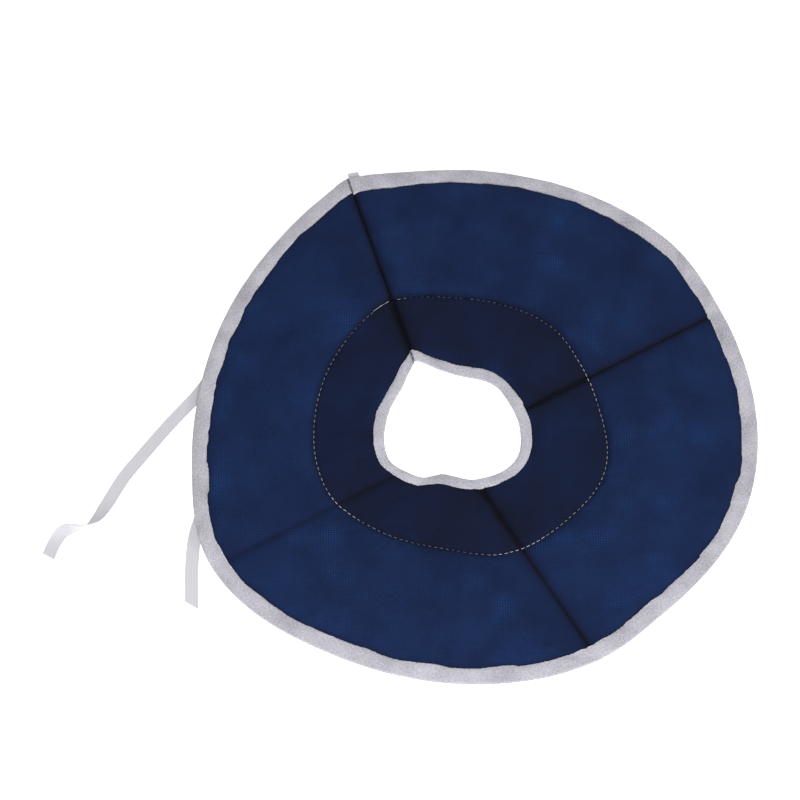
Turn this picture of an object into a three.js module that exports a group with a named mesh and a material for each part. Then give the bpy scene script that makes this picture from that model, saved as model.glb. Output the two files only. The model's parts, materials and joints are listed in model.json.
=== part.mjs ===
// Soft Elizabethan collar for a small pet: a padded, quilted fabric ring that lies
// flat, split by one slit and creased along three fold lines into four panels.
// Each panel is a sandwich of face cloth, two foam pads and back cloth, bound with
// white tape at the rim and at the neck. A hook-and-loop flap holds the slit shut
// from below, and a ribbon tie is sewn under each corner of the slit at the rim.
//
// Frame: millimetres, +Z up, the face cloth on top. The ring is centred on the
// origin in plan and rests on z = 0.

import * as THREE from 'three';

const { degToRad, radToDeg, lerp, clamp, smoothstep } = THREE.MathUtils;

// --- Fabric thicknesses and the gap kept between pieces -----------------------

const CLEARANCE = 0.3;
const CLOTH = 0.5;
const TAPE = 0.6;
const RIM_FOAM = 3.2;
const NECK_FOAM = 2.0;
const THREAD_WIDTH = 0.9;
const THREAD_HEIGHT = 0.4;

// --- Plan sizes ----------------------------------------------------------------

const RIM_RADIUS = 170;
const QUILT_RADIUS = 86;
const NECK_RADIUS = 39;
const RIM_TAPE_WIDTH = 9.5;
const NECK_TAPE_WIDTH = 6.5;

// Each outline is its base radius plus an offset at a few angles, in degrees
// counter-clockwise from +X. All start and end at the slit.
const RIM_OUTLINE = [
  [112, 4], [122, -3], [140, -11], [168, -15], [190, -11], [213, 0], [245, -8], [270, -7],
  [299, 0], [315, 1], [345, 13], [384, 13], [402, 15], [440, 5], [458, 1.5], [472, 4],
];
const QUILT_OUTLINE = [
  [115, 1], [145, -3], [175, -3], [213, 2], [235, -2], [265, -4], [290, 4], [315, 6],
  [340, 10], [365, 3], [385, 1], [405, 2], [430, -2], [450, -4], [475, 0],
];
const NECK_OUTLINE = [
  [120, 6], [130, 2], [148, -2], [180, 1], [213, 7], [232, 4], [244, 2], [260, -4], [290, 1],
  [325, 6], [350, 2], [380, -3], [400, -4], [440, -9], [465, -4], [480, 6],
];

// --- The straight lines that divide the ring into panels -----------------------
// A line lies at `offset` from the centre, along the direction `normal` (degrees).
// Seen along the normal, the ring crosses it on its left (side 1) or right (-1).
// The lower left and right folds share one line, so the ring can fold in half.

const SLIT_START = { normal: 198.7, offset: 10.3, side: -1 };
const LEFT_FOLD = { normal: 298.5, offset: 14.5, side: -1 };
const BOTTOM_FOLD = { normal: 212, offset: 9.8, side: 1 };
const RIGHT_FOLD = { normal: 298.5, offset: 14.5, side: 1 };
const SLIT_END = { normal: 558.7, offset: 10.3, side: -1 };

// --- Clearances beside the folds and the slit ----------------------------------
// A fold turns up to 140 degrees, so a piece stays under a 20 degree slope that
// rises from the fold line at the height of its hinge axis.

const FOLD_SLOPE = 0.35;
const CLOTH_FOLD_GAP = 2;
const TAPE_FOLD_GAP = 4.7;
const SLIT_GAP = 0.4;
const PAD_RAMP = 6;

// --- How far the ring is raised off the surface that it rests on ---------------

const TIE_HEADROOM = 2.2;
const HEADROOM_RUN = 14;
const SLIT_RIM_LIFT = 14;
const SLIT_NECK_LIFT = 3.5;
const LIFT_START = 0.35;

// --- Closure and ties ------------------------------------------------------------

const CLOSURE_START = 25;
const CLOSURE_END = 95;
const FLAP_REACH = 11;
const FLAP_SEAM = 8;
const HOOK_TAPE = 0.7;
const LOOP_TAPE = 0.7;
const HOOK_TAPE_INSET = 2.5;
const TIE_WIDTH = 7;
const TIE_THICKNESS = 0.35;
const TAB_THICKNESS = 0.6;
const TAB_INSET = 1.5;
const TAB_OVERHANG = 5.5;
const TAB_DEPTH = 3.5;

// Ribbon routes: x, y, z and the roll about the ribbon's length, in degrees.
const LEFT_TIE_ROUTE = [
  [-69.5, 154.6, 11.7, 0], [-69, 149, 10.0, 0], [-74, 138, 7.4, 0], [-86, 121, 4.0, 0],
  [-101, 101, 1.2, 0], [-116, 80, 0.4, 0], [-136, 49, 0.3, 0], [-154, 20, 0.3, 0],
  [-171, -1, 0.3, 0], [-185, -19.5, 0.3, 0], [-197, -36, 0.3, 0], [-206, -53, 0.7, 4],
  [-212, -63.5, 2.2, 34], [-218, -68.5, 3.7, 78], [-225, -69.5, 3.7, 112],
  [-231, -71.5, 2.3, 146], [-235.5, -78, 0.7, 176], [-238.5, -86, 0.3, 180],
];
const RIGHT_TIE_ROUTE = [
  [-59.5, 157.4, 11.2, 0], [-59, 151.5, 9.0, 0], [-62.5, 140, 5.8, 0], [-69, 125, 2.8, 0],
  [-78, 105, 0.7, 0], [-88, 82, 0.3, 0], [-104, 46, 0.3, 0], [-120, 9, 0.3, 0],
  [-137, -30, 0.3, 0], [-148.5, -57, 0.3, 0], [-153, -74, 0.3, 0], [-154, -94, 0.3, 0],
  [-153, -116, 0.3, 0],
];

// --- Mesh resolution -------------------------------------------------------------

const PANEL_STEPS = 16;
const CLOSURE_STEPS = 5;
const TIE_STEPS = 56;

// --- Derived heights, above the underside of the rim tape ------------------------

const BACK_BOTTOM = TAPE + CLEARANCE;
const BACK_TOP = BACK_BOTTOM + CLOTH;
const PAD_END_GAP = CLOTH_FOLD_GAP + (Math.max(RIM_FOAM, NECK_FOAM) + CLEARANCE) / FOLD_SLOPE;

// --- Materials -------------------------------------------------------------------

const material = (color, roughness = 0.9) => (
  new THREE.MeshStandardMaterial({ color, roughness, metalness: 0 })
);
const navyCloth = material(0x1c3264);
const navyBacking = material(0x1a2a50);
const whiteTape = material(0xc8c6d0);
const whiteThread = material(0xe4e4ea, 0.7);
const whiteFoam = material(0xe9e6dc, 1);
const whiteRibbon = material(0xdddbe4, 0.55);
const blackHook = material(0x1b1c22, 0.8);
const blackLoop = material(0x24252c, 1);

// --- Curves and lines in plan ----------------------------------------------------

// A radius for every angle: a cubic curve through a base radius plus offsets.
function outline(baseRadius, landmarks) {
  const angles = landmarks.map(([angle]) => angle);
  const radii = landmarks.map(([, offset]) => baseRadius + offset);
  const last = angles.length - 1;
  const slope = (i) => {
    const before = Math.max(i - 1, 0);
    const after = Math.min(i + 1, last);
    return (radii[after] - radii[before]) / (angles[after] - angles[before]);
  };
  return (angle) => {
    const t = clamp(angle, angles[0], angles[last]);
    const i = Math.min(angles.findLastIndex((a) => a <= t), last - 1);
    const span = angles[i + 1] - angles[i];
    const s = (t - angles[i]) / span;
    const ease = s * s * (3 - 2 * s);
    const leave = s * (1 - s) * (1 - s) * span * slope(i);
    const arrive = s * s * (1 - s) * span * slope(i + 1);
    return lerp(radii[i], radii[i + 1], ease) + leave - arrive;
  };
}

const rimRadius = outline(RIM_RADIUS, RIM_OUTLINE);
const quiltRadius = outline(QUILT_RADIUS, QUILT_OUTLINE);
const neckRadius = outline(NECK_RADIUS, NECK_OUTLINE);

const polar = (radius, angle) => (
  new THREE.Vector2(Math.cos(degToRad(angle)), Math.sin(degToRad(angle))).multiplyScalar(radius)
);

// The angle at which a dividing line meets an outline.
function crossing(line, radiusAt) {
  let angle = line.normal + line.side * 85;
  for (let i = 0; i < 8; i += 1) {
    angle = line.normal + line.side * radToDeg(Math.acos(line.offset / radiusAt(angle)));
  }
  return angle;
}

const distanceTo = (line, point) => Math.abs(polar(1, line.normal).dot(point) - line.offset);

// Halves the range [low, high] until `isPast` changes between its ends.
function bisect(low, high, isPast) {
  for (let i = 0; i < 30; i += 1) {
    const middle = (low + high) / 2;
    if (isPast(middle)) high = middle;
    else low = middle;
  }
  return (low + high) / 2;
}

// --- One panel of the ring ---------------------------------------------------------
// Its map takes u = 0..1 from the start line to the end line, counter-clockwise, and
// v = 0..1 from the neck edge to the rim edge.

function makePanel(name, start, end, gaps) {
  const neckSpan = [crossing(start, neckRadius), crossing(end, neckRadius)];
  const rimSpan = [crossing(start, rimRadius), crossing(end, rimRadius)];

  const ends = (u) => {
    const neckAngle = lerp(neckSpan[0], neckSpan[1], u);
    const rimAngle = lerp(rimSpan[0], rimSpan[1], u);
    return [polar(neckRadius(neckAngle), neckAngle), polar(rimRadius(rimAngle), rimAngle)];
  };
  const plan = (u, v) => {
    const [neck, rim] = ends(u);
    return neck.lerp(rim, v);
  };
  const width = (u) => {
    const [neck, rim] = ends(u);
    return neck.distanceTo(rim);
  };
  const quiltV = (u) => bisect(0, 1, (v) => {
    const point = plan(u, v);
    const angle = radToDeg(point.angle());
    const turned = angle < rimSpan[0] - 60 ? angle + 360 : angle;
    return point.length() > quiltRadius(turned);
  });

  return { name, start, end, gaps, plan, width, quiltV };
}

// Stations across a panel's width, each a function of u that returns v.
const fromNeck = (distance) => (panel, u) => distance / panel.width(u);
const fromRim = (distance) => (panel, u) => 1 - distance / panel.width(u);
const fromQuilt = (distance) => (panel, u) => panel.quiltV(u) + distance / panel.width(u);

// The u at which a station lies at `gap` from the panel's start or end line.
function startU(panel, station, gap) {
  const past = (u) => distanceTo(panel.start, panel.plan(u, station(panel, u))) > gap;
  return bisect(0, 0.4, past);
}
function endU(panel, station, gap) {
  const past = (u) => distanceTo(panel.end, panel.plan(u, station(panel, u))) < gap;
  return bisect(0.6, 1, past);
}

// --- Heights ------------------------------------------------------------------------

const slitLift = (v) => lerp(SLIT_NECK_LIFT, SLIT_RIM_LIFT, clamp(v, 0, 1));

function lift(panel, u, v) {
  const toSlit = panel.start === SLIT_START ? 1 - u : u;
  const besideSlit = panel.start === SLIT_START || panel.end === SLIT_END;
  const rise = besideSlit ? Math.max(0, (toSlit - LIFT_START) / (1 - LIFT_START)) ** 2 : 0;
  const toFold = distanceTo(LEFT_FOLD, panel.plan(u, v));
  const overTies = panel.end === LEFT_FOLD && panel.start === SLIT_START;
  const run = smoothstep(toFold, PAD_END_GAP, PAD_END_GAP + HEADROOM_RUN);
  const headroom = overTies ? TIE_HEADROOM * run : 0;
  return lerp(headroom, slitLift(v), rise);
}

// The room between back cloth and face cloth: it opens over the pads and closes at
// the tapes, the quilting and the panel's ends.
function padRoom(panel, u, v) {
  const width = panel.width(u);
  const point = panel.plan(u, v);
  const toQuilt = (v - panel.quiltV(u)) * width;
  const fromTape = toQuilt < 0 ? v * width - NECK_TAPE_WIDTH : (1 - v) * width - RIM_TAPE_WIDTH;
  const foam = toQuilt < 0 ? NECK_FOAM : RIM_FOAM;
  const fromEnd = Math.min(distanceTo(panel.start, point), distanceTo(panel.end, point));
  const full = foam + CLEARANCE;
  const beside = full * clamp(Math.min(fromTape, Math.abs(toQuilt)) / PAD_RAMP, 0, 1);
  return CLEARANCE + Math.min(beside, Math.max(0, fromEnd - CLOTH_FOLD_GAP) * FOLD_SLOPE);
}

// --- Solids -------------------------------------------------------------------------

// A closed slab between two grids of points: `upper(i, k)` and `lower(i, k)`.
function slab(rows, columns, upper, lower) {
  const positions = [];
  const indices = [];
  const stride = columns + 1;
  const layer = (rows + 1) * stride;
  [upper, lower].forEach((pointAt) => {
    for (let i = 0; i <= rows; i += 1) {
      for (let k = 0; k <= columns; k += 1) positions.push(...pointAt(i, k).toArray());
    }
  });
  const quad = (a, b, c, d) => indices.push(a, b, c, a, c, d);
  const top = (i, k) => i * stride + k;
  const bottom = (i, k) => layer + top(i, k);
  for (let i = 0; i < rows; i += 1) {
    for (let k = 0; k < columns; k += 1) {
      quad(top(i, k), top(i, k + 1), top(i + 1, k + 1), top(i + 1, k));
      quad(bottom(i, k), bottom(i + 1, k), bottom(i + 1, k + 1), bottom(i, k + 1));
    }
    quad(top(i, 0), top(i + 1, 0), bottom(i + 1, 0), bottom(i, 0));
    quad(top(i, columns), bottom(i, columns), bottom(i + 1, columns), top(i + 1, columns));
  }
  for (let k = 0; k < columns; k += 1) {
    quad(top(0, k), bottom(0, k), bottom(0, k + 1), top(0, k + 1));
    quad(top(rows, k), top(rows, k + 1), bottom(rows, k + 1), bottom(rows, k));
  }
  const geometry = new THREE.BufferGeometry();
  geometry.setAttribute('position', new THREE.Float32BufferAttribute(positions, 3));
  geometry.setIndex(indices);
  geometry.computeVertexNormals();
  return geometry;
}

function addMesh(parent, name, geometry, meshMaterial) {
  const mesh = new THREE.Mesh(geometry, meshMaterial);
  mesh.name = name;
  parent.add(mesh);
  return mesh;
}

// The u of each row of a sheet, at one station. The rows are the same in every piece
// of a panel, apart from the first and last, which lie at `gaps` from its end lines.
function rowsAt(panel, station, gaps) {
  const first = startU(panel, station, PAD_END_GAP);
  const last = endU(panel, station, PAD_END_GAP);
  const middle = Array.from({ length: PANEL_STEPS + 1 }, (_, i) => (
    lerp(first, last, i / PANEL_STEPS)
  ));
  const leadIn = (gap) => [...new Set([gap, TAPE_FOLD_GAP])].filter((row) => (
    row >= gap && row < PAD_END_GAP
  ));
  return [
    ...leadIn(gaps[0]).map((gap) => startU(panel, station, gap)),
    ...middle,
    ...leadIn(gaps[1]).reverse().map((gap) => endU(panel, station, gap)),
  ];
}

// Builds a sheet that runs the length of a panel. `upper` and `lower` are the two
// faces of its section, each a list of [station, height(u, v)].
function panelSheet(panel, gaps, upper, lower) {
  const faces = [upper, lower].map((section) => section.map(([station, height]) => (
    rowsAt(panel, station, gaps).map((u) => {
      const v = station(panel, u);
      const { x, y } = panel.plan(u, v);
      return new THREE.Vector3(x, y, height(u, v) + lift(panel, u, v));
    })
  )));
  const pointAt = (side) => (i, k) => faces[side][k][i];
  return slab(faces[0][0].length - 1, upper.length - 1, pointAt(0), pointAt(1));
}

// A sheet of even thickness, with its underside at `bottom(u, v)`.
function evenSheet(panel, gaps, stations, thickness, bottom) {
  const upper = stations.map((station) => [station, (u, v) => bottom(u, v) + thickness]);
  const lower = stations.map((station) => [station, bottom]);
  return panelSheet(panel, gaps, upper, lower);
}

// --- Pieces of a panel -----------------------------------------------------------------

const neckEdge = fromNeck(TAPE + CLEARANCE);
const rimEdge = fromRim(TAPE + CLEARANCE);
const neckPadStart = fromNeck(NECK_TAPE_WIDTH + PAD_RAMP);
const neckPadEnd = fromQuilt(-PAD_RAMP);
const rimPadStart = fromQuilt(PAD_RAMP);
const rimPadEnd = fromRim(RIM_TAPE_WIDTH + PAD_RAMP);

function addCloths(parent, panel) {
  const faceStations = [
    neckEdge, fromNeck(NECK_TAPE_WIDTH), neckPadStart, neckPadEnd, fromQuilt(0),
    rimPadStart, rimPadEnd, fromRim(RIM_TAPE_WIDTH), rimEdge,
  ];
  const faceBottom = (u, v) => BACK_TOP + padRoom(panel, u, v);
  const face = evenSheet(panel, panel.gaps.cloth, faceStations, CLOTH, faceBottom);
  addMesh(parent, `${panel.name}_face_cloth`, face, navyCloth);

  const backStations = [
    neckEdge, fromNeck(NECK_TAPE_WIDTH), fromQuilt(0), fromRim(RIM_TAPE_WIDTH), rimEdge,
  ];
  const back = evenSheet(panel, panel.gaps.cloth, backStations, CLOTH, () => BACK_BOTTOM);
  addMesh(parent, `${panel.name}_back_cloth`, back, navyBacking);
}

function addPads(parent, panel) {
  const gaps = [PAD_END_GAP, PAD_END_GAP];
  const bottom = () => BACK_TOP + CLEARANCE;
  const rimPad = evenSheet(panel, gaps, [rimPadStart, rimPadEnd], RIM_FOAM, bottom);
  addMesh(parent, `${panel.name}_rim_foam`, rimPad, whiteFoam);
  const neckPad = evenSheet(panel, gaps, [neckPadStart, neckPadEnd], NECK_FOAM, bottom);
  addMesh(parent, `${panel.name}_neck_foam`, neckPad, whiteFoam);
}

// A face of tape folded round an edge of the cloths: over the top, round and back
// underneath. Each point is [distance from the finished edge, height].
function foldedTape(tapeWidth, inset, turn) {
  const top = BACK_TOP + 2 * CLEARANCE + CLOTH + TAPE - inset;
  return [
    [tapeWidth, top], [inset + turn, top], [inset, top - turn],
    [inset, inset + turn], [inset + turn, inset], [tapeWidth, inset],
  ];
}

function addTapes(parent, panel) {
  const face = (fromEdge, tapeWidth, inset, turn) => (
    foldedTape(tapeWidth, inset, turn).map(([distance, height]) => [fromEdge(distance), () => height])
  );
  const rimOuter = face(fromRim, RIM_TAPE_WIDTH, 0, TAPE / 2);
  const rimInner = face(fromRim, RIM_TAPE_WIDTH, TAPE, CLEARANCE / 3);
  const rim = panelSheet(panel, panel.gaps.tape, rimOuter, rimInner);
  addMesh(parent, `${panel.name}_rim_tape`, rim, whiteTape);

  // The neck tape's section runs the other way, so its inner face is the first one.
  const neckOuter = face(fromNeck, NECK_TAPE_WIDTH, 0, TAPE / 2);
  const neckInner = face(fromNeck, NECK_TAPE_WIDTH, TAPE, CLEARANCE / 3);
  const neck = panelSheet(panel, panel.gaps.tape, neckInner, neckOuter);
  addMesh(parent, `${panel.name}_neck_tape`, neck, whiteTape);
}

// The quilting thread lies along the groove between the two pads.
function addQuiltThread(parent, panel) {
  const stations = [fromQuilt(-THREAD_WIDTH / 2), fromQuilt(THREAD_WIDTH / 2)];
  const bottom = (u, v) => BACK_TOP + padRoom(panel, u, v) + CLOTH + CLEARANCE;
  const thread = evenSheet(panel, panel.gaps.tape, stations, THREAD_HEIGHT, bottom);
  addMesh(parent, `${panel.name}_quilt_thread`, thread, whiteThread);
}

// --- The hook-and-loop closure under the slit ---------------------------------------------

// Builds a strip beside the slit. Its section is a list of [distance from the slit,
// upper height, lower height], and it runs along the slit through `stations`.
function slitStrip(panel, stations, section) {
  const locate = panel.start === SLIT_START ? startU : endU;
  const pointAt = (side) => (i, k) => {
    const [gap, ...heights] = section[i];
    const u = locate(panel, stations[k], gap);
    const v = stations[k](panel, u);
    const { x, y } = panel.plan(u, v);
    return new THREE.Vector3(x, y, heights[side] + lift(panel, u, v));
  };
  return slab(section.length - 1, stations.length - 1, pointAt(0), pointAt(1));
}

function addClosure(parent, left, top) {
  const along = Array.from({ length: CLOSURE_STEPS + 1 }, (_, k) => (
    fromNeck(lerp(CLOSURE_START, CLOSURE_END, k / CLOSURE_STEPS))
  ));
  const seamTop = BACK_BOTTOM - CLEARANCE;
  const hookTop = seamTop - LOOP_TAPE - CLEARANCE;
  const flapTop = hookTop - HOOK_TAPE - CLEARANCE;
  const tapeStart = HOOK_TAPE_INSET;
  const tapeEnd = FLAP_REACH - CLEARANCE;

  addMesh(parent, 'closure_seam', slitStrip(top, along, [
    [FLAP_SEAM, seamTop, seamTop - CLOTH], [SLIT_GAP, seamTop, seamTop - CLOTH],
  ]), navyBacking);
  addMesh(parent, 'closure_flap', slitStrip(left, along, [
    [SLIT_GAP / 2, seamTop, seamTop - CLOTH], [tapeStart - CLEARANCE, flapTop, flapTop - CLOTH],
    [FLAP_REACH, flapTop, flapTop - CLOTH],
  ]), navyBacking);
  addMesh(parent, 'closure_hook_tape', slitStrip(left, along, [
    [tapeStart, hookTop, hookTop - HOOK_TAPE], [tapeEnd, hookTop, hookTop - HOOK_TAPE],
  ]), blackHook);
  addMesh(parent, 'closure_loop_tape', slitStrip(left, along, [
    [tapeStart, seamTop, seamTop - LOOP_TAPE], [tapeEnd, seamTop, seamTop - LOOP_TAPE],
  ]), blackLoop);
}

// --- The ribbon ties -------------------------------------------------------------------------

// The doubled end of a ribbon, sewn under the rim tape beside the slit.
function addTieTab(parent, name, panel) {
  const stations = [fromRim(TAB_DEPTH), fromRim(0), fromRim(-TAB_OVERHANG)];
  const gaps = [TAB_INSET, TAB_INSET + TIE_WIDTH];
  if (panel.end === SLIT_END) gaps.reverse();
  const section = gaps.map((gap) => [gap, -CLEARANCE, -CLEARANCE - TAB_THICKNESS]);
  addMesh(parent, name, slitStrip(panel, stations, section), whiteRibbon);
}

function addTie(parent, name, route) {
  const points = route.map(([x, y, z]) => new THREE.Vector3(x, y, z));
  const curve = new THREE.CatmullRomCurve3(points, false, 'centripetal');
  const rollAt = (t) => {
    const place = t * (route.length - 1);
    const i = Math.min(Math.floor(place), route.length - 2);
    return degToRad(lerp(route[i][3], route[i + 1][3], place - i));
  };
  const up = new THREE.Vector3(0, 0, 1);
  const frames = Array.from({ length: TIE_STEPS + 1 }, (_, i) => {
    const t = i / TIE_STEPS;
    const tangent = curve.getTangent(t);
    const side = tangent.clone().cross(up).normalize().applyAxisAngle(tangent, rollAt(t));
    return { centre: curve.getPoint(t), side, normal: side.clone().cross(tangent) };
  });
  const pointAt = (height) => (i, k) => (
    frames[i].centre.clone()
      .addScaledVector(frames[i].side, (k - 0.5) * TIE_WIDTH)
      .addScaledVector(frames[i].normal, height)
  );
  const ribbon = slab(TIE_STEPS, 1, pointAt(TIE_THICKNESS / 2), pointAt(-TIE_THICKNESS / 2));
  addMesh(parent, name, ribbon, whiteRibbon);
}

// --- The whole collar -------------------------------------------------------------------------

const gapsAt = {
  slit: { cloth: SLIT_GAP, tape: SLIT_GAP },
  fold: { cloth: CLOTH_FOLD_GAP, tape: TAPE_FOLD_GAP },
};
const gapsBetween = (start, end) => ({
  cloth: [gapsAt[start].cloth, gapsAt[end].cloth],
  tape: [gapsAt[start].tape, gapsAt[end].tape],
});

const leftPanel = makePanel('left', SLIT_START, LEFT_FOLD, gapsBetween('slit', 'fold'));
const frontPanel = makePanel('front', LEFT_FOLD, BOTTOM_FOLD, gapsBetween('fold', 'fold'));
const rightPanel = makePanel('right', BOTTOM_FOLD, RIGHT_FOLD, gapsBetween('fold', 'fold'));
const topPanel = makePanel('top', RIGHT_FOLD, SLIT_END, gapsBetween('fold', 'slit'));

const collar = new THREE.Group();
[leftPanel, frontPanel, rightPanel, topPanel].forEach((panel) => {
  addCloths(collar, panel);
  addPads(collar, panel);
  addTapes(collar, panel);
  addQuiltThread(collar, panel);
});
addClosure(collar, leftPanel, topPanel);
addTieTab(collar, 'left_tie_tab', leftPanel);
addTieTab(collar, 'right_tie_tab', topPanel);

// The ring, without its loose ribbons, is centred on the origin and stands on z = 0.
const ringBox = new THREE.Box3().setFromObject(collar);
const ringCentre = ringBox.getCenter(new THREE.Vector3());
collar.position.set(-ringCentre.x, -ringCentre.y, -ringBox.min.z);

addTie(collar, 'left_tie', LEFT_TIE_ROUTE);
addTie(collar, 'right_tie', RIGHT_TIE_ROUTE);

export default collar;
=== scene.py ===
import json
import math

import bpy
import numpy as np
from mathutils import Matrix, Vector


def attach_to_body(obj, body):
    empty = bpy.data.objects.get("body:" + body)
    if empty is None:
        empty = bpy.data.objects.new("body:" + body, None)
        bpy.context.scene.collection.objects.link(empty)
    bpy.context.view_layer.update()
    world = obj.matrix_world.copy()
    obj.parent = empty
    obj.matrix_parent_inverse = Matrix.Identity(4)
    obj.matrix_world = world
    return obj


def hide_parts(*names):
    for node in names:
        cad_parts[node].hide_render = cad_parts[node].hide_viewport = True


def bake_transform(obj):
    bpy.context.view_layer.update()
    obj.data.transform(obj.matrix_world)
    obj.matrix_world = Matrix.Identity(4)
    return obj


# A soft Elizabethan collar, laid open: a quilted navy ring with white binding, built
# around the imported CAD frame. Sizes are in metres, in the frame of the row.

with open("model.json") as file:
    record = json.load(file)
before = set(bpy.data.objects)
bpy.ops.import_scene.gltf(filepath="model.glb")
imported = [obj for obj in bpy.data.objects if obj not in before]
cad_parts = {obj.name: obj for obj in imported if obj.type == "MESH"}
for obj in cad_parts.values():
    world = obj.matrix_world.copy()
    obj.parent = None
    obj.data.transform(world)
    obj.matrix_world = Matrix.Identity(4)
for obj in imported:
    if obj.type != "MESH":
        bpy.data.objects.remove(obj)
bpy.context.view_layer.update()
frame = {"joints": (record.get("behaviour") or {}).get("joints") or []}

MM = 0.001
JOINTS = {joint["name"]: joint for joint in frame["joints"]}

# --- Sizes of the collar, as in its CAD source ------------------------

CLEARANCE = 0.3 * MM
CLOTH = 0.5 * MM
TAPE = 0.6 * MM
RIM_FOAM = 3.2 * MM
RIM_RADIUS = 170
QUILT_RADIUS = 86
NECK_RADIUS = 39
RIM_TAPE_WIDTH = 9.5 * MM
NECK_TAPE_WIDTH = 6.5 * MM
TIE_WIDTH = 7 * MM

RIM_OUTLINE = [
    [112, 4], [122, -3], [140, -11], [168, -15], [190, -11], [213, 0], [245, -8], [270, -7],
    [299, 0], [315, 1], [345, 13], [384, 13], [402, 15], [440, 5], [458, 1.5], [472, 4],
]
QUILT_OUTLINE = [
    [115, 1], [145, -3], [175, -3], [213, 2], [235, -2], [265, -4], [290, 4], [315, 6],
    [340, 10], [365, 3], [385, 1], [405, 2], [430, -2], [450, -4], [475, 0],
]
NECK_OUTLINE = [
    [120, 6], [130, 2], [148, -2], [180, 1], [213, 7], [232, 4], [244, 2], [260, -4], [290, 1],
    [325, 6], [350, 2], [380, -3], [400, -4], [440, -9], [465, -4], [480, 6],
]

# Lines that divide the ring: direction of the normal (degrees), offset, side.
SLIT_START = (198.7, 10.3 * MM, -1)
LEFT_FOLD = (298.5, 14.5 * MM, -1)
BOTTOM_FOLD = (212.0, 9.8 * MM, 1)
RIGHT_FOLD = (298.5, 14.5 * MM, 1)
SLIT_END = (558.7, 10.3 * MM, -1)

FOLD_SLOPE = 0.35
CLOTH_FOLD_GAP = 2 * MM
SLIT_GAP = 0.08 * MM
TIE_HEADROOM = 2.2 * MM
HEADROOM_RUN = 14 * MM
SLIT_RIM_LIFT = 14 * MM
SLIT_NECK_LIFT = 3.5 * MM
LIFT_START = 0.35

BACK_BOTTOM = TAPE + CLEARANCE
BACK_TOP = BACK_BOTTOM + CLOTH
PAD_END_GAP = CLOTH_FOLD_GAP + (RIM_FOAM + CLEARANCE) / FOLD_SLOPE
PINCHED_TOP = BACK_TOP + CLEARANCE + CLOTH


def direction(degrees):
    angle = math.radians(degrees)
    return np.array([math.cos(angle), math.sin(angle)])


# The centre that the outlines are drawn from, found from the fold's hinge.
CENTRE = np.array(JOINTS["fold_left"]["pos_m"][:2]) - LEFT_FOLD[1] * direction(LEFT_FOLD[0])


# --- Camera, light and floor ------------------------------------------


def add_object(name, data):
    thing = bpy.data.objects.new(name, data)
    bpy.context.scene.collection.objects.link(thing)
    return thing


def add_camera():
    elevation = math.radians(66.0)
    distance = 1.15
    target = Vector((CENTRE[0] - 0.0321, CENTRE[1] + 0.0148, 0.0))
    away = Vector((0, -math.cos(elevation), math.sin(elevation)))
    data = bpy.data.cameras.new("camera")
    data.lens = 85
    data.sensor_width = 36
    camera = add_object("camera", data)
    camera.location = target + away * distance
    camera.rotation_euler = (-away).to_track_quat("-Z", "Y").to_euler()
    bpy.context.scene.camera = camera


def add_area_light(name, location, aim, size, power):
    data = bpy.data.lights.new(name, "AREA")
    data.shape = "DISK"
    data.size = size
    data.energy = power
    light = add_object(name, data)
    light.location = location
    light.rotation_euler = (Vector(aim) - Vector(location)).to_track_quat("-Z", "Y").to_euler()


def add_studio():
    world = bpy.data.worlds.new("studio")
    world.use_nodes = True
    background = world.node_tree.nodes["Background"]
    background.inputs["Color"].default_value = (1.0, 1.0, 1.0, 1)
    background.inputs["Strength"].default_value = 0.42
    bpy.context.scene.world = world
    add_area_light("key", (1.0, 0.7, 0.8), (0, 0, 0), 0.4, 7)
    add_area_light("fill", (-0.05, -0.75, 0.8), (0, -0.1, 0), 0.7, 11)
    bpy.context.scene.view_settings.view_transform = "Standard"

    data = bpy.data.meshes.new("floor")
    half = 15.0
    corners = [(-half, -half, 0), (half, -half, 0), (half, half, 0), (-half, half, 0)]
    data.from_pydata(corners, [], [(0, 1, 2, 3)])
    floor = add_object("floor", data)
    white = Nodes("floor_white", (0.93, 0.93, 0.93), 0.95)
    data.materials.append(white.done(Emission_Color=(1, 1, 1, 1), Emission_Strength=0.6))


# --- Plan of the ring -------------------------------------------------


def outline(base_radius, landmarks):
    """A radius for every angle, by a cubic curve through a base radius plus offsets."""
    angles = np.array([angle for angle, _ in landmarks], float)
    radii = np.array([base_radius + offset for _, offset in landmarks], float) * MM
    before = np.maximum(np.arange(len(angles)) - 1, 0)
    after = np.minimum(np.arange(len(angles)) + 1, len(angles) - 1)
    slopes = (radii[after] - radii[before]) / (angles[after] - angles[before])

    def radius(angle):
        t = np.clip(angle, angles[0], angles[-1])
        i = np.clip(np.searchsorted(angles, t, "right") - 1, 0, len(angles) - 2)
        span = angles[i + 1] - angles[i]
        s = (t - angles[i]) / span
        ease = s * s * (3 - 2 * s)
        leave = s * (1 - s) ** 2 * span * slopes[i]
        arrive = s * s * (1 - s) * span * slopes[i + 1]
        return radii[i] + (radii[i + 1] - radii[i]) * ease + leave - arrive

    return radius


rim_radius = outline(RIM_RADIUS, RIM_OUTLINE)
quilt_radius = outline(QUILT_RADIUS, QUILT_OUTLINE)
neck_radius = outline(NECK_RADIUS, NECK_OUTLINE)


def polar(radius, angle):
    a = np.radians(angle)
    return np.stack([radius * np.cos(a), radius * np.sin(a)], axis=-1)


def crossing(line, radius_at):
    normal, offset, side = line
    angle = normal + side * 85.0
    for _ in range(8):
        angle = normal + side * math.degrees(math.acos(offset / float(radius_at(angle))))
    return angle


def distance_to(line, points):
    return np.abs(points @ direction(line[0]) - line[1])


def smoothstep(x, low, high):
    t = np.clip((x - low) / (high - low), 0, 1)
    return t * t * (3 - 2 * t)


def unit(vectors):
    return vectors / np.linalg.norm(vectors, axis=-1, keepdims=True)


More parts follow.
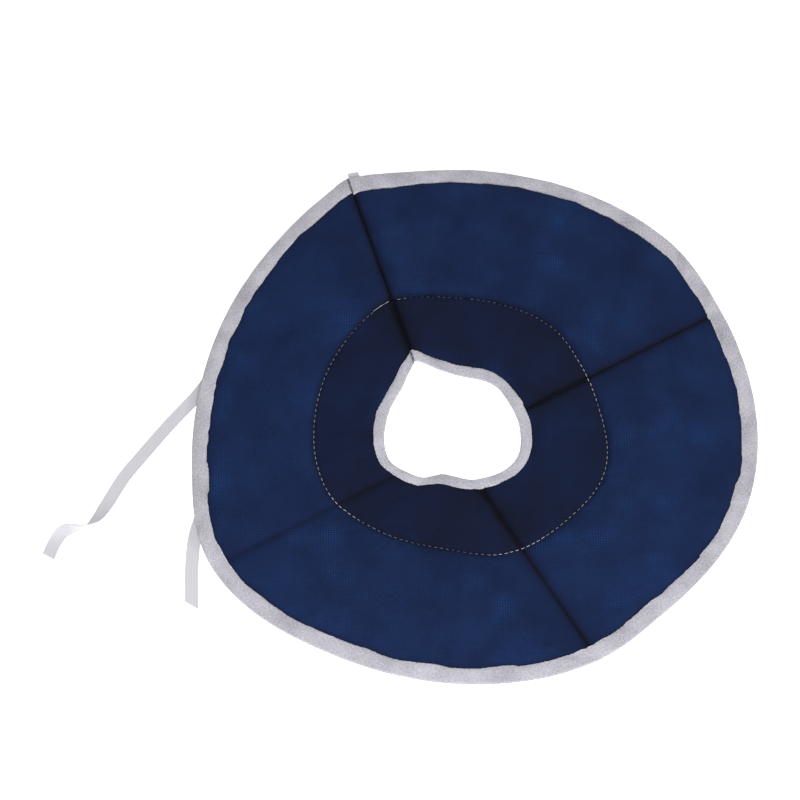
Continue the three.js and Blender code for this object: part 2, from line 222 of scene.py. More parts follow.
def run_lengths(points):
    """The distance along a line of points, at each of them."""
    steps = np.linalg.norm(np.diff(points, axis=0), axis=1)
    return np.concatenate([[0], np.cumsum(steps)])


def bisect(low, high, is_past, rounds):
    """Closes in on the place where is_past turns true, at each entry of an array."""
    for _ in range(rounds):
        middle = (low + high) / 2
        past = is_past(middle)
        high = np.where(past, middle, high)
        low = np.where(past, low, middle)
    return (low + high) / 2


class Panel:
    """One panel of the ring: u runs along it and v across it, from neck to rim. Across
    it, q = 0, 1, 2, 3, 4 at the neck edge, neck tape, quilting, rim tape and rim edge."""

    def __init__(self, name, start, end):
        self.name = name
        self.start = start
        self.end = end
        self.neck_span = crossing(start, neck_radius), crossing(end, neck_radius)
        self.rim_span = crossing(start, rim_radius), crossing(end, rim_radius)
        self.table_u = np.linspace(-0.02, 1.02, 261)
        self.table_quilt = self._find_quilt(self.table_u)

    def ends(self, u):
        neck_angle = self.neck_span[0] + (self.neck_span[1] - self.neck_span[0]) * u
        rim_angle = self.rim_span[0] + (self.rim_span[1] - self.rim_span[0]) * u
        return polar(neck_radius(neck_angle), neck_angle), polar(rim_radius(rim_angle), rim_angle)

    def plan(self, u, v):
        neck, rim = self.ends(u)
        return neck + (rim - neck) * np.asarray(v)[..., None]

    def width(self, u):
        neck, rim = self.ends(u)
        return np.linalg.norm(rim - neck, axis=-1)

    def _find_quilt(self, u):
        def past_quilting(v):
            point = self.plan(u, v)
            angle = np.degrees(np.arctan2(point[..., 1], point[..., 0])) % 360
            angle = np.where(angle < self.rim_span[0] - 60, angle + 360, angle)
            return np.linalg.norm(point, axis=-1) > quilt_radius(angle)

        return bisect(np.zeros_like(u), np.ones_like(u), past_quilting, 40)

    def quilt_v(self, u):
        return np.interp(u, self.table_u, self.table_quilt)

    def v_at(self, u, q):
        width = self.width(u)
        marks = [
            np.zeros_like(u), NECK_TAPE_WIDTH / width, self.quilt_v(u),
            1 - RIM_TAPE_WIDTH / width, np.ones_like(u),
        ]
        i = np.clip(np.floor(q).astype(int), 0, 3)
        marks = np.stack(np.broadcast_arrays(*marks))
        low = np.take_along_axis(marks, i[None], 0)[0]
        high = np.take_along_axis(marks, i[None] + 1, 0)[0]
        return low + (high - low) * (q - i)

    def column(self, q, gap, at_start):
        """The u, at each q, of the line that lies `gap` inside the panel's start or end."""
        line = self.start if at_start else self.end

        def past_line(u):
            far = distance_to(line, self.plan(u, self.v_at(u, q))) > gap
            return far if at_start else ~far

        low = 0.0 if at_start else 0.5
        return bisect(np.full(len(q), low), np.full(len(q), low + 0.5), past_line, 36)

    def lift(self, u, v):
        beside_slit = self.start is SLIT_START or self.end is SLIT_END
        to_slit = 1 - u if self.start is SLIT_START else u
        rise = np.clip((to_slit - LIFT_START) / (1 - LIFT_START), 0, 1) ** 2 * beside_slit
        headroom = 0.0
        if self.start is SLIT_START:
            to_fold = distance_to(self.end, self.plan(u, v))
            headroom = TIE_HEADROOM * smoothstep(to_fold, PAD_END_GAP, PAD_END_GAP + HEADROOM_RUN)
        at_slit = SLIT_NECK_LIFT + (SLIT_RIM_LIFT - SLIT_NECK_LIFT) * np.clip(v, 0, 1)
        return headroom + (at_slit - headroom) * rise


PANELS = [
    Panel("left", SLIT_START, LEFT_FOLD), Panel("front", LEFT_FOLD, BOTTOM_FOLD),
    Panel("right", BOTTOM_FOLD, RIGHT_FOLD), Panel("top", RIGHT_FOLD, SLIT_END),
]

# Columns of every sheet of the ring: close together beside a fold or the slit.
EDGE_GAPS = np.array([0, 0.5, 1.1, 1.9, 2.9, 4.1, 5.6, 7.4, 9.6, 12.4, 16]) * MM
MIDDLE_COLUMNS = 76


class Grid:
    """Points of the whole ring: columns counter-clockwise from the slit, rows by q."""

    def __init__(self, q_rows):
        q_rows = np.asarray(q_rows, float)
        columns = []
        for index, panel in enumerate(PANELS):
            first = [panel.column(q_rows, gap, True) for gap in EDGE_GAPS[1:]]
            last = [panel.column(q_rows, gap, False) for gap in EDGE_GAPS[1:]][::-1]
            steps = np.linspace(0, 1, MIDDLE_COLUMNS + 1)[1:-1, None]
            middle = list(first[-1] + (last[0] - first[-1]) * steps)
            sides = [np.zeros(len(q_rows))] + first + middle + last
            columns += [(index, u) for u in sides]
        columns[0] = (0, PANELS[0].column(q_rows, SLIT_GAP / 2, True))
        columns.append((3, PANELS[3].column(q_rows, SLIT_GAP / 2, False)))
        self.q = np.broadcast_to(q_rows, (len(columns), len(q_rows)))
        self.panel = np.array([index for index, _ in columns])
        self.u = np.array([u for _, u in columns])
        self.xy = np.zeros(self.u.shape + (2,))
        self.v, self.v_quilt, self.width, self.lift = np.zeros((4, *self.u.shape))
        self.to_fold, self.to_slit, self.crease = np.ones((3, *self.u.shape))
        for index, panel in enumerate(PANELS):
            mine = self.panel == index
            u, q = self.u[mine], self.q[mine]
            v = panel.v_at(u, q)
            self.v[mine] = v
            self.v_quilt[mine] = panel.quilt_v(u)
            self.xy[mine] = panel.plan(u, v)
            self.width[mine] = panel.width(u)
            self.lift[mine] = panel.lift(u, v)
            for line in (panel.start, panel.end):
                gap = distance_to(line, self.xy[mine])
                slit = line is SLIT_START or line is SLIT_END
                nearest = self.to_slit if slit else self.to_fold
                nearest[mine] = np.minimum(nearest[mine], gap)
                if line is LEFT_FOLD:
                    self.crease[mine] = 1 - 0.55 * (gap < 20 * MM)

    def points(self, z):
        return np.concatenate([self.xy + CENTRE, (z + self.lift)[..., None]], axis=-1)


COLUMNS_PER_PANEL = MIDDLE_COLUMNS - 1 + 2 * (len(EDGE_GAPS) - 1) + 1
HALF_PANEL = COLUMNS_PER_PANEL // 2
LAST_COLUMN = 4 * COLUMNS_PER_PANEL

# Every sheet is cut in the middle of each panel: the end pieces ride on a panel and the three
# others lie across a fold.
CUTS = [0, *[HALF_PANEL + n * COLUMNS_PER_PANEL for n in range(4)], LAST_COLUMN]
SECTORS = list(zip(
    ["slit_left", "fold_left", "fold_bottom", "fold_right", "slit_right"], CUTS, CUTS[1:],
    ["left_panel", "left_panel", "front_panel", "right_panel", "top_panel"],
    [None, "front_panel", "right_panel", "top_panel", None],
))
FOLD_LINES = {"fold_left": LEFT_FOLD, "fold_bottom": BOTTOM_FOLD, "fold_right": RIGHT_FOLD}


def lattice(x, y, cell, seed):
    """Smooth noise from -1 to 1 with features about one cell across."""
    table = np.random.default_rng(seed).uniform(-1, 1, (64, 64))
    gx, gy = np.asarray(x) / cell, np.asarray(y) / cell
    ix, iy = np.floor(gx).astype(int), np.floor(gy).astype(int)
    fx, fy = gx - ix, gy - iy
    fx, fy = fx * fx * (3 - 2 * fx), fy * fy * (3 - 2 * fy)
    corner = [[table[(ix + a) % 64, (iy + b) % 64] for b in (0, 1)] for a in (0, 1)]
    low = corner[0][0] * (1 - fy) + corner[0][1] * fy
    high = corner[1][0] * (1 - fy) + corner[1][1] * fy
    return low * (1 - fx) + high * fx


# --- Meshes -----------------------------------------------------------


def grid_normals(points):
    along = np.gradient(points, axis=0)
    across = np.gradient(points, axis=1)
    normal = np.cross(across, along)
    return normal / np.maximum(np.linalg.norm(normal, axis=-1, keepdims=True), 1e-12)


def slab_mesh(name, top, bottom, uv, material, tone=None, normals=None):
    """A closed slab between two grids of points, smooth on both faces. `tone` sets how light its
    colour looks at each point, and carries painted shade and painted highlight. A slab that is one
    stretch of a longer sheet has the sheet's normals, so that the stretches meet without a line."""
    top_normals, bottom_normals = normals or (grid_normals(top), -grid_normals(bottom))
    rows, columns = top.shape[0] - 1, top.shape[1] - 1
    stride = columns + 1
    layer = (rows + 1) * stride
    vertices = np.concatenate([top.reshape(-1, 3), bottom.reshape(-1, 3)])
    i, k = np.meshgrid(np.arange(rows), np.arange(columns), indexing="ij")
    a = (i * stride + k).ravel()
    up = np.stack([a, a + 1, a + stride + 1, a + stride], axis=1)
    down = np.stack([a, a + stride, a + stride + 1, a + 1], axis=1) + layer
    r = np.arange(rows) * stride
    c = np.arange(columns)
    end = rows * stride
    sides = np.concatenate([
        np.stack([r, r + stride, r + stride + layer, r + layer], axis=1),
        np.stack([r + columns, r + columns + layer, r + columns + stride + layer,
                  r + columns + stride], axis=1),
        np.stack([c, c + layer, c + 1 + layer, c + 1], axis=1),
        np.stack([c + end, c + 1 + end, c + 1 + end + layer, c + end + layer], axis=1),
    ])
    faces = np.concatenate([up, down, sides])
    mesh = bpy.data.meshes.new(name)
    mesh.from_pydata(vertices.tolist(), [], faces.tolist())
    mesh.polygons.foreach_set("use_smooth", np.ones(len(faces), bool))
    layer_uv = mesh.uv_layers.new(name="cloth")
    flat_uv = np.concatenate([uv.reshape(-1, 2), uv.reshape(-1, 2)])[faces.ravel()]
    layer_uv.data.foreach_set("uv", flat_uv.ravel().astype(np.float32))
    mesh.update()
    smooth = np.concatenate([top_normals.reshape(-1, 3), bottom_normals.reshape(-1, 3)])
    loops = smooth[faces.ravel()]
    flat = np.zeros(len(faces) * 3, np.float32)
    mesh.polygons.foreach_get("normal", flat)
    first_side = (len(up) + len(down)) * 4
    loops[first_side:] = np.repeat(flat.reshape(-1, 3), 4, axis=0)[first_side:]
    mesh.normals_split_custom_set(loops.tolist())
    piece = add_object(name, mesh)
    mesh.materials.append(material)
    if tone is not None:
        shade = mesh.attributes.new("tone", "FLOAT", "POINT")
        shade.data.foreach_set("value", np.tile(tone.ravel(), 2).astype(np.float32))
    return piece


def attach(piece, sector, node_kind):
    """Rides a piece of the ring on its panel, in the place of the panels' CAD nodes of that kind;
    a piece that lies across a fold only has its transform baked."""
    name, _, _, body, other = sector
    if other is None:
        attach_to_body(piece, body)
    else:
        bend(piece, FOLD_LINES[name], body, other)
    if node_kind:
        panels = [b.replace("_panel", "") for b in (body, other) if b]
        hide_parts(*[f"{panel}_{node_kind}" for panel in panels])


def bend(piece, line, body, other):
    # A panel's end lies on one side of the line; the next panel starts on the other.
    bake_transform(piece)


def place(piece, body, node, slot):
    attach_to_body(piece, body)
    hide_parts(node)


# --- Materials --------------------------------------------------------


class Nodes:
    """Builds a node material step by step."""

    def __init__(self, name, color, roughness):
        self.material = bpy.data.materials.new(name)
        self.material.use_nodes = True
        self.tree = self.material.node_tree
        self.shader = self.tree.nodes["Principled BSDF"]
        self.shader.inputs["Base Color"].default_value = (*color, 1)
        self.shader.inputs["Roughness"].default_value = roughness

    def done(self, **settings):
        """Sets the shader's own sockets, and hands over the material."""
        for key, value in settings.items():
            self.shader.inputs[key.replace("_", " ")].default_value = value
        return self.material

    def feed(self, socket, value):
        if isinstance(value, bpy.types.NodeSocket):
            self.tree.links.new(value, socket)
        else:
            socket.default_value = value

    def add(self, kind, **inputs):
        node = self.tree.nodes.new(kind)
        for key, value in inputs.items():
            self.feed(node.inputs[key], value)
        return node

    def uv(self):
        node = self.tree.nodes.new("ShaderNodeUVMap")
        node.uv_map = "cloth"
        return node.outputs["UV"]

    def tone(self):
        """The sheet's tone at each point, as slab_mesh stored it, with its painted shade and
        highlight.
        """
        node = self.tree.nodes.new("ShaderNodeAttribute")
        node.attribute_name = "tone"
        return node.outputs["Fac"]

    def noise(self, vector, scale, detail=2.0, roughness=0.5):
        node = self.add("ShaderNodeTexNoise", Vector=vector, Scale=scale, Detail=detail,
                        Roughness=roughness)
        return node.outputs["Fac"]

    def wave(self, vector, scale, axis, distortion=0.0):
        node = self.add("ShaderNodeTexWave", Vector=vector, Scale=scale, Distortion=distortion)
        node.bands_direction = axis
        return node.outputs["Fac"]

    def math(self, operation, a, b=0.0):
        node = self.tree.nodes.new("ShaderNodeMath")
        node.operation = operation
        self.feed(node.inputs[0], a)
        self.feed(node.inputs[1], b)
        return node.outputs["Value"]

    def plus(self, a, b):
        return self.math("ADD", a, b)

    def times(self, a, b):
        return self.math("MULTIPLY", a, b)

    def about_middle(self, value, amount):
        """A value from 0 to 1 turned into one round 0, and scaled."""
        return self.times(self.math("SUBTRACT", value, 0.5), amount)

    def ramp(self, factor, stops):
        node = self.add("ShaderNodeValToRGB", Fac=factor)
        while len(node.color_ramp.elements) < len(stops):
            node.color_ramp.elements.new(0.5)
        for element, (position, color) in zip(node.color_ramp.elements, stops):
            element.position = position
            element.color = (*color, 1)
        return node.outputs["Color"]

    def color(self, socket):
        self.tree.links.new(socket, self.shader.inputs["Base Color"])

    def bump(self, height, distance, strength=1.0):
        node = self.add("ShaderNodeBump", Height=height, Distance=distance, Strength=strength)
        self.tree.links.new(node.outputs["Normal"], self.shader.inputs["Normal"])


def weave(nodes, uv, threads):
    """Crossing threads: a plain weave with `threads` to the metre each way."""
    warp = nodes.wave(uv, threads / math.tau, "X", 0.4)
    weft = nodes.wave(uv, threads / math.tau, "Y", 0.4)
    return nodes.math("MAXIMUM", warp, weft)


def navy_material(name):
    nodes = Nodes(name, (0.013, 0.030, 0.098), 0.9)
    uv = nodes.uv()
    broad = nodes.noise(uv, 24, 3)
    fine = nodes.noise(uv, 700, 3, 0.65)
    threads = weave(nodes, uv, 4400)
    mottle = nodes.about_middle(broad, 0.42)
    speckle = nodes.about_middle(fine, 0.35)
    coarse = nodes.times(nodes.wave(uv, 205, "X", 2.4), nodes.wave(uv, 218, "Y", 2.4))
    patches = nodes.math("MAXIMUM", nodes.math("SUBTRACT", nodes.noise(uv, 31, 2), 0.5), 0.0)
    shine = nodes.times(nodes.times(coarse, patches), 1.9)
    glint = nodes.plus(nodes.about_middle(threads, 0.1), shine)
    # The tone attribute brings in the painted shade and painted sheen.
    level = nodes.plus(nodes.tone(), nodes.plus(mottle, speckle))
    nodes.color(nodes.ramp(nodes.plus(level, glint), [
        (0.0, (0.003, 0.0032, 0.006)), (0.2, (0.0062, 0.0078, 0.0185)),
        (0.4, (0.0070, 0.0115, 0.036)), (0.6, (0.0078, 0.0165, 0.056)),
        (0.8, (0.0095, 0.028, 0.098)), (1.0, (0.014, 0.055, 0.17)),
    ]))
    height = nodes.plus(nodes.times(threads, 0.6), nodes.times(fine, 0.6))
    nodes.bump(height, 0.0003, 0.6)
    return nodes.done(Sheen_Weight=0.06, Sheen_Roughness=0.45, Specular_IOR_Level=0.06,
                      Sheen_Tint=(0.3, 0.45, 0.95, 1))


def tape_material():
    nodes = Nodes("white_tape", (0.56, 0.55, 0.6), 0.9)
    uv = nodes.uv()
    broad = nodes.noise(uv, 60, 3)
    fine = nodes.noise(uv, 900, 3, 0.65)
    grain = nodes.plus(nodes.times(broad, 0.36), nodes.times(fine, 0.64))
    # The tone adds the tapes' painted highlight and painted shade.
    mixed = nodes.plus(grain, nodes.times(nodes.tone(), 0.2))
    nodes.color(nodes.ramp(mixed, [
        (0.1, (0.03, 0.03, 0.04)), (0.34, (0.26, 0.25, 0.29)),
        (0.5, (0.415, 0.405, 0.45)), (0.7, (0.60, 0.58, 0.64)),
    ]))
    threads = weave(nodes, uv, 7000)
    height = nodes.plus(nodes.times(threads, 0.5), nodes.times(fine, 0.6))
    nodes.bump(height, 0.0002, 0.6)
    return nodes.done(Sheen_Weight=0.2, Specular_IOR_Level=0.3)


def thread_material(name, color):
    nodes = Nodes(name, color, 0.6)
    twist = nodes.wave(nodes.uv(), 400, "DIAGONAL")
    shade = tuple(0.72 * c for c in color)
    nodes.color(nodes.ramp(twist, [(0.1, shade), (0.6, color)]))
    nodes.bump(twist, 0.0001, 0.6)
    return nodes.material


def ribbon_material():
    nodes = Nodes("white_ribbon", (0.72, 0.71, 0.76), 0.5)
    uv = nodes.uv()
    ribs = nodes.wave(uv, 900, "X")
    cords = nodes.wave(uv, 260, "Y")
    relief = nodes.plus(nodes.times(ribs, 0.4), nodes.times(cords, 0.6))
    nodes.color(nodes.ramp(relief, [(0.0, (0.54, 0.53, 0.57)), (1.0, (0.68, 0.67, 0.71))]))
    nodes.bump(relief, 0.0001, 0.5)
    return nodes.done(Sheen_Weight=0.3, Transmission_Weight=0.12)


def foam_material():
    nodes = Nodes("foam", (0.8, 0.78, 0.7), 1.0)
    coordinates = nodes.tree.nodes.new("ShaderNodeTexCoord").outputs["Object"]
    cells = nodes.add("ShaderNodeTexVoronoi", Vector=coordinates, Scale=900).outputs["Distance"]
    nodes.color(nodes.ramp(cells, [(0.1, (0.6, 0.58, 0.5)), (0.6, (0.86, 0.84, 0.76))]))
    nodes.bump(cells, 0.0004, 0.8)
    return nodes.material


def nap_material(name, color, scale):
    nodes = Nodes(name, color, 0.9)
    fibres = nodes.noise(nodes.uv(), scale, 4, 0.7)
    bright = tuple(2.2 * c for c in color)
    nodes.color(nodes.ramp(fibres, [(0.35, color), (0.7, bright)]))
    nodes.bump(fibres, 0.0006, 0.9)
    return nodes.done(Sheen_Weight=0.3)


NAVY = navy_material("navy_cloth")
BACKING = navy_material("navy_backing")
WHITE_TAPE = tape_material()
WHITE_THREAD = thread_material("white_thread", (0.5, 0.5, 0.53))
TAPE_THREAD = thread_material("tape_thread", (0.42, 0.41, 0.46))
WHITE_RIBBON = ribbon_material()
FOAM = foam_material()
HOOK = nap_material("hook_tape", (0.012, 0.013, 0.02), 1500)
LOOP = nap_material("loop_tape", (0.016, 0.018, 0.026), 700)


# --- Ribbon ties ------------------------------------------------------

# Routes in millimetres from the ring's centre: x, y, z and roll, as in the CAD source.
LEFT_TIE_ROUTE = [
    [-69.5, 154.6, 11.7, 0], [-69, 149, 10.0, 0], [-74, 138, 7.4, 0], [-86, 121, 4.0, 0],
    [-101, 101, 1.2, 0], [-116, 80, 0.4, 0], [-136, 49, 0.3, 0], [-154, 20, 0.3, 0],
    [-171, -1, 0.3, 0], [-185, -19.5, 0.3, 0], [-197, -36, 0.3, 0], [-206, -53, 0.7, 4],
    [-212, -63.5, 2.2, 34], [-218, -68.5, 3.7, 78], [-225, -69.5, 3.7, 112],
    [-231, -71.5, 2.3, 146], [-235.5, -78, 0.7, 176], [-238.5, -86, 0.3, 180],
]
RIGHT_TIE_ROUTE = [
    [-59.5, 157.4, 11.2, 0], [-59, 151.5, 9.0, 0], [-62.5, 140, 5.8, 0], [-69, 125, 2.8, 0],
    [-78, 105, 0.7, 0], [-88, 82, 0.3, 0], [-104, 46, 0.3, 0], [-120, 9, 0.3, 0],
    [-137, -30, 0.3, 0], [-148.5, -57, 0.3, 0], [-153, -74, 0.3, 0], [-154, -94, 0.3, 0],
    [-153, -116, 0.3, 0],
]
TIE_STEPS_PER_POINT = 12
TIE_SPREAD = 0.14
# The ribbon's section: offset across it, as a share of half its width, and thickness.
TIE_SECTION = [(-1, 0.30), (-0.93, 0.46), (-0.82, 0.34), (-0.4, 0.3), (0, 0.3),
               (0.4, 0.3), (0.82, 0.34), (0.93, 0.46), (1, 0.30)]


def centripetal(points, steps):
    """A centripetal Catmull-Rom curve through the points."""
    ends = [2 * points[0] - points[1], *points, 2 * points[-1] - points[-2]]
    out = []
    for a, b, c, d in zip(ends, ends[1:], ends[2:], ends[3:]):
        knots = np.cumsum([0] + [np.linalg.norm(q[:3] - p[:3]) ** 0.5 for p, q in
                                 ((a, b), (b, c), (c, d))])
        t = np.linspace(knots[1], knots[2], steps, endpoint=False)[:, None]
        mix = lambda p, q, i, j: (p * (knots[j] - t) + q * (t - knots[i])) / (knots[j] - knots[i])
        ab, bc, cd = mix(a, b, 0, 1), mix(b, c, 1, 2), mix(c, d, 2, 3)
        out.append(mix(mix(ab, bc, 0, 2), mix(bc, cd, 1, 3), 1, 2))
    return np.vstack([*out, points[-1]])


def add_tie(name, node, route, body, slant):
    points = np.array(route, float)
    points[:, :3] *= MM
    points[:, :2] += CENTRE
    line = centripetal(points, TIE_STEPS_PER_POINT)
    centre, roll = line[:, :3], np.radians(line[:, 3])
    tangent = unit(np.gradient(centre, axis=0))
    side = unit(np.cross(tangent, [0, 0, 1]))
    turned = side * np.cos(roll)[:, None] + np.cross(tangent, side) * np.sin(roll)[:, None]
    normal = np.cross(turned, tangent)
    length = run_lengths(centre)
    across = np.array([s for s, _ in TIE_SECTION])
    half = np.array([t for _, t in TIE_SECTION]) * MM / 2
    near_end = np.clip(1 - (length[-1] - length) / (8 * MM), 0, 1)
    cut = near_end[:, None, None] * slant * MM * across[None, :, None] * tangent[:, None]
    half_width = TIE_WIDTH / 2 * (1 + TIE_SPREAD * smoothstep(length, 5 * MM, 40 * MM))
    middle = centre[:, None] + turned[:, None] * (half_width[:, None] * across)[..., None] + cut
    top = middle + normal[:, None] * half[None, :, None]
    bottom = middle - normal[:, None] * half[None, :, None]
    uv = np.stack(np.broadcast_arrays(length[:, None], across * TIE_WIDTH / 2), axis=-1)
    piece = slab_mesh(name, top, bottom, uv, WHITE_RIBBON)
    place(piece, body, node, "ribbon")
    return piece


add_camera()
add_studio()
add_tie("tie_left", "left_tie", LEFT_TIE_ROUTE, "left_panel", 0.6)
add_tie("tie_right", "right_tie", RIGHT_TIE_ROUTE, "tie_ribbon", -2.6)

# --- Where the tapes' wavy inner edges lie ----------------------------


def ring_angle(xy):
    return np.degrees(np.arctan2(xy[..., 1], xy[..., 0]))


def tape_reach(xy, from_rim):
    """How far a binding tape reaches in from its edge, at the angle of each point. The
    rim's tape reaches further in where its ends are folded under, beside the slit."""
    angle = np.radians(ring_angle(xy))
    if from_rim:
        radius, width, seed = 0.17, RIM_TAPE_WIDTH, 11
    else:
        radius, width, seed = 0.042, NECK_TAPE_WIDTH, 21
    x, y = radius * np.cos(angle), radius * np.sin(angle)
    broad = 0.8 if from_rim else 0.5
    waver = broad * lattice(x, y, 15 * MM, seed) + 0.45 * lattice(x, y, 5 * MM, seed + 1)
    if from_rim:
        past_slit = (np.degrees(angle) - PANELS[0].rim_span[0] + 180) % 360 - 180
        after, before = np.exp(-np.maximum(past_slit, 0) / 2), np.exp(np.minimum(past_slit, 0) / 5)
        waver = waver + np.where(past_slit < 0, 3.0 * before, 1.2 * after)
    return width + MM * waver


# --- The cloths -------------------------------------------------------

RIM_SWELL = 4.1 * MM
NECK_SWELL = 3.0 * MM
SETTLING_FRAMES = 26


def clustered(count):
    """Rows of one zone, from 0 to 1, close together at both ends."""
    t = np.linspace(0, 1, count + 1)
    return (1 - np.cos(np.pi * t)) / 2 * 0.8 + t * 0.2


def dome(distance, run):
    """0 at a seam, rising steeply and levelling off at 1 over `run`."""
    t = np.clip(distance / run, 0, 1)
    return np.sqrt(np.maximum(1 - (1 - t) ** 2, 0))


def seam_distances(grid):
    """Each point's distance from the quilting and from the tape that bounds its zone."""
    outer = grid.v > grid.v_quilt
    to_quilt = np.abs(grid.v - grid.v_quilt) * grid.width
    from_rim = (1 - grid.v) * grid.width - tape_reach(grid.xy, True)
    from_neck = grid.v * grid.width - tape_reach(grid.xy, False)
    return outer, to_quilt, np.where(outer, from_rim, from_neck)


def face_heights(grid):
    """Height of the face cloth's upper side above the panel's base."""
    outer, to_quilt, to_tape = seam_distances(grid)
    full = np.where(outer, RIM_SWELL, NECK_SWELL)
    to_tape = np.maximum(to_tape, 0)
    seams = dome(to_quilt, 9 * MM) * dome(to_tape, 9 * MM)
    fold = 1 - np.exp(-0.95 * FOLD_SLOPE * np.maximum(grid.to_fold - 1.2 * MM, 0) / full)
    slit = dome(grid.to_slit, 10 * MM)
    x, y = grid.xy[..., 0], grid.xy[..., 1]
    swell = 1 + 0.14 * lattice(x, y, 48 * MM, 1) + 0.07 * lattice(x, y, 19 * MM, 2)
    body = full * seams * fold * slit * swell
    angle = np.arctan2(y, x)
    pinch = np.sin(angle * 148 + 2.5 * lattice(x, y, 20 * MM, 3))
    pinch = pinch * np.exp(-to_quilt / (3.5 * MM)) * np.clip(to_quilt / (1.2 * MM), 0, 1)
    gather = lattice(angle * 0.17, to_tape * 0.25, 5 * MM, 5)
    gather = gather * np.exp(-to_tape / (7 * MM)) * np.clip(to_tape / (1.5 * MM), 0, 1)
    calm = fold * slit * np.clip(to_tape / (1 * MM), 0, 1)
    fold_dip = -0.5 * MM * grid.crease * np.exp(-(grid.to_fold / (1.6 * MM)) ** 2)
    slit_dip = -1.15 * MM * (1 - dome(grid.to_slit, 3 * MM))
    return PINCHED_TOP + body + (0.18 * pinch + 0.3 * gather) * MM * calm + fold_dip + slit_dip


def tone_with_painted_shade(grid):
    """Darker inside the quilting, with painted shade in the creases, the slit, the quilting seam
    and beside the tapes, and a painted sheen beside the neck tape.
    """
    outer, to_quilt, to_tape = seam_distances(grid)
    side = np.where(outer, 1, -1) * to_quilt
    # Darker inside the quilting than outside it.
    tone = 0.33 + 0.27 * smoothstep(side, -2 * MM, 4 * MM)
    # Painted shade in the folds' creases and in the slit.
    tone -= 0.36 * grid.crease * np.exp(-(grid.to_fold / (1.5 * MM)) ** 1.5)
    tone -= 0.2 * grid.crease * np.exp(-grid.to_fold / (5 * MM))
    tone -= 0.5 * np.exp(-(grid.to_slit / (1.8 * MM)) ** 1.5)
    tone -= 0.12 * np.exp(-grid.to_slit / (8 * MM))
    # Painted shade along the tapes' inner edges and in the quilting seam.
    tone -= 0.3 * np.exp(-np.maximum(to_tape, 0) / (0.9 * MM))
    tone -= 0.12 * np.exp(-to_quilt / (1.0 * MM))
    # Painted sheen: lighter patches on the cloth beside the neck tape.
    painted_neck_sheen = np.clip(lattice(grid.xy[..., 0], grid.xy[..., 1], 14 * MM, 8) + 0.25, 0, 1)
    tone += 0.35 * painted_neck_sheen * np.exp(-np.maximum(to_tape, 0) / (5 * MM)) * ~outer
    return np.clip(tone, 0, 1)


def add_sheet(kind, grid, top, bottom, uv, material):
    """Cuts one sheet of the ring into its sectors and attaches them."""
    top_normals, bottom_normals = grid_normals(top), -grid_normals(bottom)
    tone = tone_with_painted_shade(grid)
    for sector in SECTORS:
        name, first, last = sector[:3]
        part = slice(first, last + 1)
        normals = top_normals[part], bottom_normals[part]
        piece = slab_mesh(f"{kind}_{name}", top[part], bottom[part], uv[part], material,
                          tone[part], normals)
        attach(piece, sector, kind)


FACE_ROWS = np.concatenate([
    [0.25, 0.7], 0.9 + 0.1 * np.arange(2), 1 + clustered(22)[1:-1], 2 + clustered(36)[:-1],
    [3.0, 3.12, 3.4, 3.9],
])
FACE_GRID = Grid(FACE_ROWS)


def settle_cloth(height):
    """Lets the slightly oversized face cloth puff up between its seams, by simulation.
    Returns the change in height at the simulated rows and columns."""
    columns = np.unique(np.concatenate([
        panel * COLUMNS_PER_PANEL + np.array([0, 3, 5, 7, 9, *range(10, 86, 2), 87, 89, 91, 93])
        for panel in range(4)
    ] + [np.array([LAST_COLUMN])]))
    rows = np.arange(3, len(FACE_ROWS) - 3)
    rows = np.unique(np.concatenate([rows[:2], rows[2:-2:2], rows[-2:]]))
    pick = np.ix_(columns, rows)
    points = FACE_GRID.points(height)[pick]
    count = len(rows)
    faces = [(a, a + 1, a + count + 1, a + count)
             for i in range(len(columns) - 1) for a in range(i * count, i * count + count - 1)]
    mesh = bpy.data.meshes.new("settling")
    mesh.from_pydata(points.reshape(-1, 3).tolist(), [], faces)
    cloth = add_object("settling", mesh)
    _, to_quilt, to_tape = [a[pick] for a in seam_distances(FACE_GRID)]
    fixed = (to_quilt < 0.6 * MM) | (to_tape < 0.6 * MM)
    fixed |= (FACE_GRID.to_fold[pick] < 1 * MM) | (FACE_GRID.to_slit[pick] < 1 * MM)
    group = cloth.vertex_groups.new(name="sewn")
    group.add(np.nonzero(fixed.ravel())[0].tolist(), 1.0, "REPLACE")
    modifier = cloth.modifiers.new("cloth", "CLOTH")
    settings = modifier.settings
    settings.vertex_group_mass = "sewn"
    settings.quality = 5
    settings.mass = 0.15
    settings.tension_stiffness = settings.compression_stiffness = 12
    settings.shear_stiffness = 4
    settings.bending_stiffness = 0.02
    settings.air_damping = 3
    settings.shrink_min = settings.shrink_max = -0.012
    settings.use_pressure = True
    settings.uniform_pressure_force = 0.6
    settings.effector_weights.gravity = 0
    modifier.collision_settings.use_collision = False
    modifier.point_cache.frame_start = 1
    modifier.point_cache.frame_end = SETTLING_FRAMES
    scene = bpy.context.scene
    for frame_number in range(1, SETTLING_FRAMES + 1):
        scene.frame_set(frame_number)
    settled = cloth.evaluated_get(bpy.context.evaluated_depsgraph_get()).to_mesh()
    moved = np.zeros(len(settled.vertices) * 3)
    settled.vertices.foreach_get("co", moved)
    rise = moved.reshape(points.shape)[..., 2] - points[..., 2]
    bpy.data.objects.remove(cloth)
    scene.frame_set(1)
    return columns, rows, rise


def spread_rise(columns, rows, rise):
    """Carries the settled heights from the simulated points to every point."""
    every_row = np.stack([np.interp(np.arange(len(FACE_ROWS)), rows, line) for line in rise])
    all_columns = np.arange(LAST_COLUMN + 1)
    return np.stack([np.interp(all_columns, columns, line) for line in every_row.T], axis=1)


